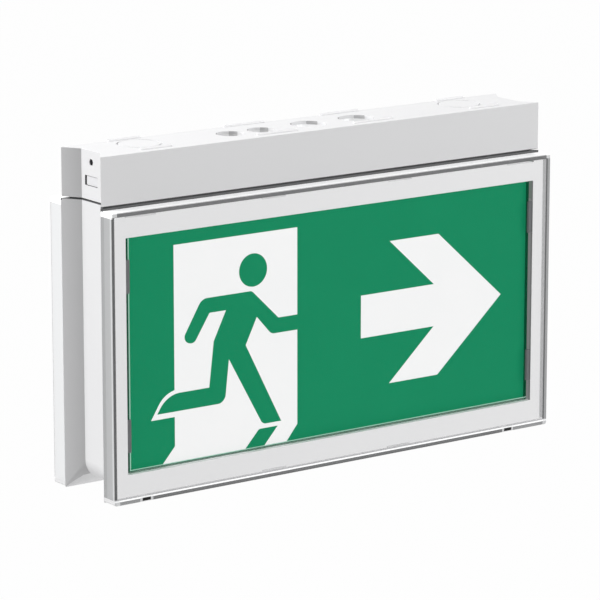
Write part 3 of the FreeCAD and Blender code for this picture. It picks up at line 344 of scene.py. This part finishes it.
def inside_glow(finish):
    """Painted light: white glow on the faces inside the housing, where light that enters bounces round, and on the
    sides of the ribs on top.
    """
    inside = (finish.z < housing_high[2] - 3.2 * MM) * (abs(finish.y) < housing_high[1] - SIDE_WALL)
    inside = inside * (abs(finish.x) < housing_high[0] - END_WALL)
    entries = (abs(finish.y) < 12 * MM) * (abs(finish.facing_z) < 0.3)
    ribs = (finish.z > housing_high[2] - 1.1 * MM) * (finish.facing_z < 0.5)
    bars = inside * between(finish.z, *BAR_HEIGHTS) * (finish.facing_z > 0.5)
    amount = inside * (1 - entries * ENTRY_SHARE) * INNER_SHARE + ribs * RIB_SHARE
    return finish.blend(amount + bars * INNER_SHARE, BLACK, WHITE)


print("glow inside", round((housing_high[0] - END_WALL) / MM, 1), "mm")

# %% The five mouldings
moulded("housing_white", linear(238, 238, 239), 0.52, housing_layers, (inside_glow, 0.6))
moulded("body_white", linear(238, 238, 239), 0.5, body_layers)
# The frames get a faint white glow: painted light that lifts the border behind the clear cover.
moulded("frame_white", linear(242, 242, 243), 0.45, window_wall_shade, (lambda finish: WHITE, 0.12))
# The legend clips are a dark grey: painted shade, for the shadow they sit in behind the clear cover.
moulded("clip_white", linear(112, 114, 116), 0.4)
moulded("latch_white", linear(236, 236, 238), 0.42, latch_collar_shade)
print("mouldings:", ", ".join(finishes))

# %% [markdown]
# ## Clear covers
# The covers are clear polycarbonate with polished faces. Light bends as it enters and leaves, so
# a wall that is looked at end on shows dark and bright lines from all round, while the wide face
# only lets the legend through. Bent light could be traced, but it comes out grainy and changes
# with every small edge. Here the clear face is almost fully see-through, and the lines that a
# wall gathers are painted where they lie, by position on the cover: a dark band along the top,
# a grey end on the right, a fine line on the left, and pale corners. The masks are all numbers
# made from the place of a point, so they hold from any side.

# %% Places on a cover
cover_low, cover_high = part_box("front_cover")
COVER_END = cover_high[0]
COVER_TOP = cover_high[2]
COVER_BOTTOM = cover_low[2]
COVER_FACE = -cover_low[1]
COVER_OPEN_EDGE = -cover_high[1]
SKIN = 0.4 * MM                  # a wall's outer face is within this of the cover's box
FACE_SKIN = 0.8 * MM             # the same for the wide face and its softened edge
CORNER = 3.4 * MM                # wall thickness, seen at the corners
REAR_STRIP = 1.6 * MM            # strip of the top wall in the housing's shadow
SLOT_X = 144.5 * MM
SLOT_SLANT = -5.3 * MM           # the slots are seen this far along, through the wall
SNAP_PLACES = ((50 * MM, 9 * MM), (150 * MM, 11 * MM))
print("cover", [round(v / MM, 1) for v in (COVER_END, COVER_TOP, COVER_BOTTOM, COVER_FACE)])


# %% Painting in layers
def layered(finish, colour, opacity, layers):
    """Colour and opacity once each (mask, colour, opacity) layer is laid over the last."""
    for mask, over, cover in layers:
        colour = finish.blend(mask, colour, over)
        opacity = opacity + mask * (cover - opacity)
    return colour, opacity


print("a layer is a mask, a colour and an opacity")


# %% Lines on the cover's face
def upright_lines(finish, face):
    """The top wall's band and the two end walls' bands."""
    above = COVER_TOP - finish.z
    right = COVER_END - finish.x
    left = finish.x + COVER_END
    return [
        (face * (above < 2.7 * MM), grey(118), 0.92),
        (face * (right < 3.8 * MM), grey(176), 0.9),
        (face * between(right, 2.6 * MM, 3.8 * MM), grey(98), 0.9),
        (face * (left < 1.5 * MM), grey(96), 0.95),
    ]


def sill_lines(finish, face):
    """The bottom wall's bands, with painted shade in the release slots."""
    below = finish.z - COVER_BOTTOM
    slot = abs(abs(finish.x - SLOT_SLANT) - SLOT_X)
    past_slot = abs(finish.x) > SLOT_X
    return [
        (face * (below < 4.1 * MM), grey(196), 0.7),
        (face * (below < 3.5 * MM), linear(252, 252, 253), 0.95),
        (face * (below < 2.5 * MM) * (1 - past_slot), grey(118), 0.92),
        (face * (below < 0.9 * MM) * (1 - past_slot), grey(92), 0.92),
        (face * (below < 2.5 * MM) * past_slot, grey(158), 0.9),
        (face * (below < 3.4 * MM) * (slot < 4.8 * MM), grey(228), 0.9),
        # painted shade: the slots near black, where they are seen through the wall
        (face * between(below, 0.6 * MM, 2.7 * MM) * (slot < 3.1 * MM), linear(14, 14, 15), 1.0),
    ]


def face_layers(finish):
    """Bands along the edges of the outer face: the ends of the four walls behind it."""
    face = abs(finish.y) > COVER_FACE - FACE_SKIN
    near_end = abs(finish.x) > COVER_END - 3.6 * MM
    corners = ((finish.z - COVER_BOTTOM) < CORNER) + ((COVER_TOP - finish.z) < 2.4 * MM)
    return (upright_lines(finish, face) + sill_lines(finish, face)
            + [(face * near_end * corners, grey(226), 0.8)])


print("lines over a face", round(2 * COVER_END / MM), "mm long")


# %% Lines on the cover's walls
def wall_layers(finish):
    """The outside of the walls: a painted highlight above, striped grey at the ends, and painted shade at the
    snaps.
    """
    depth = abs(finish.y)
    top = finish.z > COVER_TOP - SKIN
    floor = finish.z < COVER_BOTTOM + SKIN
    side = abs(finish.x) > COVER_END - SKIN
    back = finish.y > 0
    rear_strip = top * (depth < COVER_OPEN_EDGE + REAR_STRIP)
    layers = [
        (floor, grey(214), 0.8),
        (side, grey(190), 0.9),
        (side * (depth < COVER_OPEN_EDGE + CORNER), grey(174), 0.9),
        (side * between(depth, COVER_FACE - 2.6 * MM, COVER_FACE - 1.4 * MM), grey(222), 0.9),
        (side * back, grey(244), 0.95),
        (side * ((COVER_TOP - finish.z) < CORNER), linear(248, 248, 249), 0.9),
        (side * ((finish.z - COVER_BOTTOM) < CORNER), linear(244, 244, 245), 0.9),
        (top, linear(250, 250, 251), 0.95),
        (rear_strip, grey(122), 0.95),
    ]
    # painted shade on the rear strip at the snaps
    for x, half_width in SNAP_PLACES:
        snap = abs(abs(finish.x) - x) < half_width
        layers.append((rear_strip * snap, grey(84), 0.95))
    return layers


def painted_cover_light(finish):
    """Painted light on the top wall, the upper corners and a line near the bottom of the face, where light that
    runs in the plastic comes out.
    """
    top = (finish.z > COVER_TOP - SKIN) * (abs(finish.y) > COVER_OPEN_EDGE + REAR_STRIP)
    ends = (abs(finish.x) > COVER_END - SKIN) * (finish.z > COVER_TOP - CORNER)
    line = between(finish.z - COVER_BOTTOM, 2.5 * MM, 3.5 * MM)
    line = line * (abs(finish.y) > COVER_FACE - FACE_SKIN)
    return finish.blend((top + ends + line) > 0.5, BLACK, WHITE)


print("walls", round((COVER_FACE - COVER_OPEN_EDGE) / MM, 1), "mm deep")

# %% [markdown]
# ## See-through plastic
# The wide faces would each add a few per cent of white over the green legend if they kept their
# own colour, and four of them lie one behind another. They are black at a very low opacity
# instead, so that they add nothing but their shine. The covers don't shade the border behind them,
# because real ones pass the light on.

# %% Clear plastics
FACE_OPACITY = 0.02
WALL_OPACITY = 0.25
PAINTED_COVER_LIGHT = 0.42


def clear(name, tint, layers=None, glow=None):
    """A clear plastic: wide faces see-through, walls a little milky, and lines laid over both."""
    finish = Finish(name)
    wide = abs(finish.facing_y) > 0.9
    opacity = WALL_OPACITY - wide * (WALL_OPACITY - FACE_OPACITY)
    unlit = finish.blend(wide, tint, BLACK)
    colour, opacity = layered(finish, unlit, opacity, layers(finish) if layers else [])
    finish.set(Base_Color=colour, Alpha=opacity, Roughness=0.06, IOR=1.49)
    if glow:
        finish.set(Emission_Color=glow(finish), Emission_Strength=PAINTED_COVER_LIGHT)


clear("cover_clear", linear(246, 247, 248),
      lambda finish: wall_layers(finish) + face_layers(finish), painted_cover_light)
for cover in ("front_cover", "rear_cover"):
    nodes[cover].visible_shadow = False
    nodes[cover].visible_diffuse = False
clear("guide_clear", linear(240, 248, 246))
print("clear covers and light guide, faces", FACE_OPACITY, "opaque")

# %% [markdown]
# ## The legend plate
# The print is on the back of a clear plate 3 mm thick. Near an edge the eye looks into the plate's
# end, which mirrors the green, so a darker strip of painted reflection runs along the left and the
# bottom, and a fine pale painted highlight marks where it starts. These lines lie on the plate's
# front face, and the plate's ends are painted green for the same reflection.


# %% Lines on the legend plate
def plate_painted_light(finish):
    """The plate's ends and a dark strip along two edges of its face in painted green reflection, with a pale
    painted highlight line.
    """
    face = abs(finish.y) > -plate_low[1] - 0.3 * MM
    left = finish.x - plate_low[0]
    below = finish.z - plate_low[2]
    strip = 1 - (left > 0.5 * MM) * (below > 1.4 * MM)
    line = 1 - (left > 1.3 * MM) * (below > 2.0 * MM)
    end_wall = abs(finish.facing_x) > 0.7
    return [
        (end_wall, linear(20, 104, 74), 1.0),
        (face * line, linear(196, 244, 224), 0.85),
        (face * strip, linear(14, 96, 68), 0.8),
    ]


clear("plate_clear", linear(240, 250, 246), plate_painted_light)
print("legend plate", round((plate_high[2] - plate_low[2]) / MM, 1), "mm high")

# %% [markdown]
# ## The legend
# The green is a translucent ink on the back of the clear plate, and the white is an opal sheet
# behind it, softly lit by the light guide. Ink is smooth and even, with a faint change of density
# across the sheet. Both give most of their colour as light of their own, as a sign that is lit from
# behind does, which keeps the arrow and the doorway whiter than the mouldings round them.

# %% Green ink and opal sheet
INK_LIGHT = 0.62
SHEET_LIGHT = 0.82

ink = Finish("print_green")
density = ink.noise(45 * MM, 2.0)
green = ink.blend(density, linear(24, 143, 99), linear(22, 139, 96))
ink.set(Base_Color=ink.blend(0.5, green, BLACK), Roughness=0.5, Specular_IOR_Level=0.05,
        Emission_Color=green, Emission_Strength=INK_LIGHT)

sheet = Finish("opal")
cloud = sheet.noise(30 * MM, 2.0)
milk = sheet.blend(cloud, linear(250, 250, 250), linear(246, 247, 247))
sheet.set(Base_Color=sheet.blend(0.7, milk, BLACK), Roughness=0.45, Specular_IOR_Level=0.1,
          Emission_Color=milk, Emission_Strength=SHEET_LIGHT)
print("ink gives", INK_LIGHT, "and the opal sheet", SHEET_LIGHT, "of its own light")

# %% [markdown]
# ## Metals and electronics
# These pieces sit inside, and show through the cable entries and with a cover off. Zinc plate has
# a fine cloudy pattern, brass is brighter and warmer, and a circuit board is a tinted lacquer over
# copper tracks.


# %% Metals
def metal(name, colour, roughness, cloud_size):
    """A metal whose colour and shine are slightly cloudy."""
    finish = Finish(name)
    mottled = finish.noise(cloud_size, 3.0)
    tint = finish.blend(mottled, colour, darker(colour, 0.8))
    finish.set(Base_Color=tint, Metallic=1.0, Roughness=roughness + mottled * 0.12)


metal("zinc_steel", linear(205, 207, 210), 0.28, 1.5 * MM)
metal("black_steel", linear(62, 63, 66), 0.35, 1.5 * MM)
metal("spring_steel", linear(190, 190, 188), 0.25, 4 * MM)
metal("brass", linear(214, 178, 96), 0.25, 3 * MM)
print("metals ready:", len(finishes), "finishes so far")


# %% Boards
TRACK_PITCH = 14 * MM


def circuit(name, lacquer, track):
    """A lacquered board with lanes of track in it."""
    finish = Finish(name)
    lanes = finish.node("ShaderNodeTexBrick", {"offset": 0.5},
                        {"Vector": finish.place, "Scale": 1 / TRACK_PITCH, "Mortar Size": 0.02,
                         "Color1": BLACK, "Color2": BLACK, "Mortar": WHITE})
    finish.set(Base_Color=finish.blend(lanes, lacquer, track), Roughness=0.35)


circuit("circuit_green", linear(28, 92, 52), linear(52, 128, 78))
circuit("circuit_white", linear(238, 238, 234), linear(226, 226, 220))
print("boards with tracks", round(TRACK_PITCH / MM), "mm apart")

# %% Chips, connectors and films
SPECKLE_DEPTH = 0.01 * MM


def plain_moulding(name, colour, roughness, grain=1.0 * MM):
    """A small moulding or film with a fine speckle."""
    finish = Finish(name)
    speckle = finish.noise(grain, 2.0)
    tint = finish.blend(speckle, colour, darker(colour, 0.9))
    finish.set(Base_Color=tint, Roughness=roughness,
               Normal=finish.bump(speckle, SPECKLE_DEPTH, 0.5))


plain_moulding("led_yellow", linear(240, 222, 130), 0.3)
plain_moulding("chip_black", linear(34, 34, 36), 0.45)
plain_moulding("ferrite", linear(58, 56, 56), 0.6)
plain_moulding("capacitor_sleeve", linear(32, 36, 62), 0.25)
plain_moulding("connector_cream", linear(232, 226, 206), 0.4)
plain_moulding("terminal_grey", linear(214, 216, 214), 0.4)
plain_moulding("battery_wrap", linear(206, 210, 96), 0.22, 3 * MM)
nodes["battery_pack"].visible_diffuse = False   # its yellow would tint the white cable entries
print("all", len(finishes), "finishes ready")

# %% [markdown]
# ## Giving each piece its finish
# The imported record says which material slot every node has, and the finishes above carry the same
# names, so one loop dresses the whole sign.

# %% Finishes by slot
for part in frame["record"]["subparts"]:
    mesh = nodes[part["node"]].data
    mesh.materials.clear()
    mesh.materials.append(finishes[part["material_slot"]])

# %% [markdown]
# ## Soft edges
# No moulding has a perfectly sharp edge: the tool's corners leave a radius of a few tenths of a
# millimetre, and that is what catches a thin line of light. A bevel that follows sharp edges only
# gives this. The pieces arrive with their faces unjoined, so a weld comes first.

# %% Rounded moulding edges
EDGE_RADII = {
    "mounting_housing": 0.35 * MM, "sign_body": 0.35 * MM,
    "front_frame": 0.3 * MM, "rear_frame": 0.3 * MM,
    "latch_button_left": 0.25 * MM, "latch_button_right": 0.25 * MM,
    "front_legend_clips": 0.2 * MM, "rear_legend_clips": 0.2 * MM,
    "cable_anchor_bars": 0.3 * MM, "terminal_block": 0.3 * MM,
}
SHARP = math.radians(35)
WELD_REACH = 0.002 * MM


def join_faces(piece):
    """Welds the faces of a piece along their edges."""
    piece.modifiers.new("join_faces", "WELD").merge_threshold = WELD_REACH


for name, radius in EDGE_RADII.items():
    join_faces(nodes[name])
    bevel = nodes[name].modifiers.new("round_edges", "BEVEL")
    bevel.width = radius
    bevel.segments = 2
    bevel.limit_method = "ANGLE"
    bevel.angle_limit = SHARP
print("softened", len(EDGE_RADII), "nodes")

# %% [markdown]
# ## A film of air behind the clear plates
# The print touches the back of its clear plate, and two faces in exactly the same place confuse a
# ray tracer: it can't tell which of them a ray meets first, and pale patches appear. Shrinking the
# plate by a few hundredths of a millimetre leaves the film of air that real plates have. A corner
# moves along the diagonal of its three faces, which is what the square root of 3 is for.

# %% Air films
AIR_FILM = 0.03 * MM
for name in ("front_legend_plate", "rear_legend_plate"):
    join_faces(nodes[name])
    shrink = nodes[name].modifiers.new("air_film", "DISPLACE")
    shrink.mid_level = 0.0
    shrink.strength = -AIR_FILM * math.sqrt(3)
print("plates drawn in by", AIR_FILM / MM, "mm")

# %% [markdown]
# ## The latch springs
# Each latch spring is a folded steel strip between the button and a fixed wall, so it gets shorter
# by as much as the button is pressed. Here each spring only gets a mesh of its own, and its length
# before and after a full press is printed.

# %% Latch springs
for end in ("left", "right"):
    spring = f"latch_spring_{end}"
    press = next(joint for joint in frame["joints"] if joint["name"] == f"latch_{end}_press")
    travel = max(press["range_m"])
    low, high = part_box(spring)
    length = high[0] - low[0]
    held_end = high[0] if end == "left" else low[0]
    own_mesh(nodes[spring], press["name"], axis=(1, 0, 0), anchor=(held_end, 0, 0),
              keep=1 - travel / length)
    print(spring, "goes from", round(length / MM, 2), "to", round((length - travel) / MM, 2), "mm")

# %% [markdown]
# ## Studio
# The sign hangs in a white studio. The world gives even light from all round. It is brighter to
# the camera, and to shiny and clear surfaces, than it is as a light, so that the backdrop is white
# while the white plastic keeps its shading.

# %% World
AMBIENT = 0.46
world = bpy.data.worlds.new("studio")
bpy.context.scene.world = world
world.use_nodes = True
sky = world.node_tree
background = sky.nodes["Background"]
background.inputs["Color"].default_value = WHITE
path = sky.nodes.new("ShaderNodeLightPath")
seen = Wire(sky, path.outputs["Is Camera Ray"])
seen = seen + Wire(sky, path.outputs["Is Glossy Ray"])
seen = seen + Wire(sky, path.outputs["Is Transmission Ray"])
seen = seen > 0.5
plug(sky, seen * (1 - AMBIENT) + AMBIENT, background.inputs["Strength"])
print("ambient light", AMBIENT)

# %% [markdown]
# The floor is well below, as it is under a ceiling sign. It is white paper: to the camera it shines
# like the backdrop, and to the sign it is an ordinary pale surface that throws light back up.

# %% Floor
FLOOR_DROP = 1.2
FLOOR_SIZE = 30
FLOOR_GLOW = 0.98
floor_z = solid_box[0][2] - FLOOR_DROP
bpy.ops.mesh.primitive_plane_add(size=FLOOR_SIZE, location=(0, 0, floor_z))
floor = bpy.context.object
floor.name = "floor"
paper = Finish("floor_paper")
paper.set(Base_Color=(0.9, 0.9, 0.9, 1), Roughness=1.0)
path = paper.tree.nodes.new("ShaderNodeLightPath")
seen = Wire(paper.tree, path.outputs["Is Camera Ray"])
seen = seen + Wire(paper.tree, path.outputs["Is Transmission Ray"])
lit_paper = Wire(paper.tree, paper.shader.outputs[0])
shining_paper = paper.node("ShaderNodeEmission")
mixed = paper.node("ShaderNodeMixShader",
                   inputs={0: seen * FLOOR_GLOW, 1: lit_paper, 2: shining_paper})
plug(paper.tree, mixed, paper.tree.nodes["Material Output"].inputs[0])
floor.data.materials.append(paper.material)
print("floor at", round(floor_z, 3))

# %% [markdown]
# ## Lamps
# The key lamp is large and soft. It stands behind the sign, to the left and above, so it lights the
# top, the left end and the back. A weaker and wider one in front, on the right, lifts the front
# faces, which stay a shade greyer than the top.

# %% Two soft lamps
LAMP_DISTANCE = 2.5
LAMPS = {
    "key_lamp": {"direction": (-0.5, 0.45, 0.55), "size": 1.2, "watts": 54},
    "front_lamp": {"direction": (0.6, -0.75, 0.28), "size": 1.6, "watts": 20},
}
middle = (Vector(solid_box[0]) + Vector(solid_box[1])) / 2
for name, lamp in LAMPS.items():
    data = bpy.data.lights.new(name, "AREA")
    data.size = lamp["size"]
    data.energy = lamp["watts"]
    light = bpy.data.objects.new(name, data)
    bpy.context.scene.collection.objects.link(light)
    towards = Vector(lamp["direction"]).normalized()
    light.location = middle + towards * LAMP_DISTANCE
    light.rotation_euler = towards.to_track_quat("Z", "Y").to_euler()
print(len(LAMPS), "lamps", LAMP_DISTANCE, "m away")

# %% [markdown]
# ## Camera
# A long lens from the front left and a little above, which shows the front, the left end and the
# top, with little perspective.

# %% Camera
CAMERA_AZIMUTH = math.radians(-35.893)
CAMERA_ELEVATION = math.radians(12.698)
CAMERA_DISTANCE = 2.2961
CAMERA_TARGET = Vector((-0.00637, 0.00014, -0.11483))
LENS = 213.04
SENSOR_WIDTH = 36.0

camera_data = bpy.data.cameras.new("camera")
camera_data.sensor_width = SENSOR_WIDTH
camera_data.lens = LENS
camera = bpy.data.objects.new("camera", camera_data)
bpy.context.scene.collection.objects.link(camera)
away = Vector((math.sin(CAMERA_AZIMUTH) * math.cos(CAMERA_ELEVATION),
               -math.cos(CAMERA_AZIMUTH) * math.cos(CAMERA_ELEVATION),
               math.sin(CAMERA_ELEVATION)))
camera.location = CAMERA_TARGET + away * CAMERA_DISTANCE
camera.rotation_euler = away.to_track_quat("Z", "Y").to_euler()
bpy.context.scene.camera = camera
bpy.context.scene.view_settings.view_transform = "Standard"
print("camera at", [round(value, 3) for value in camera.location])
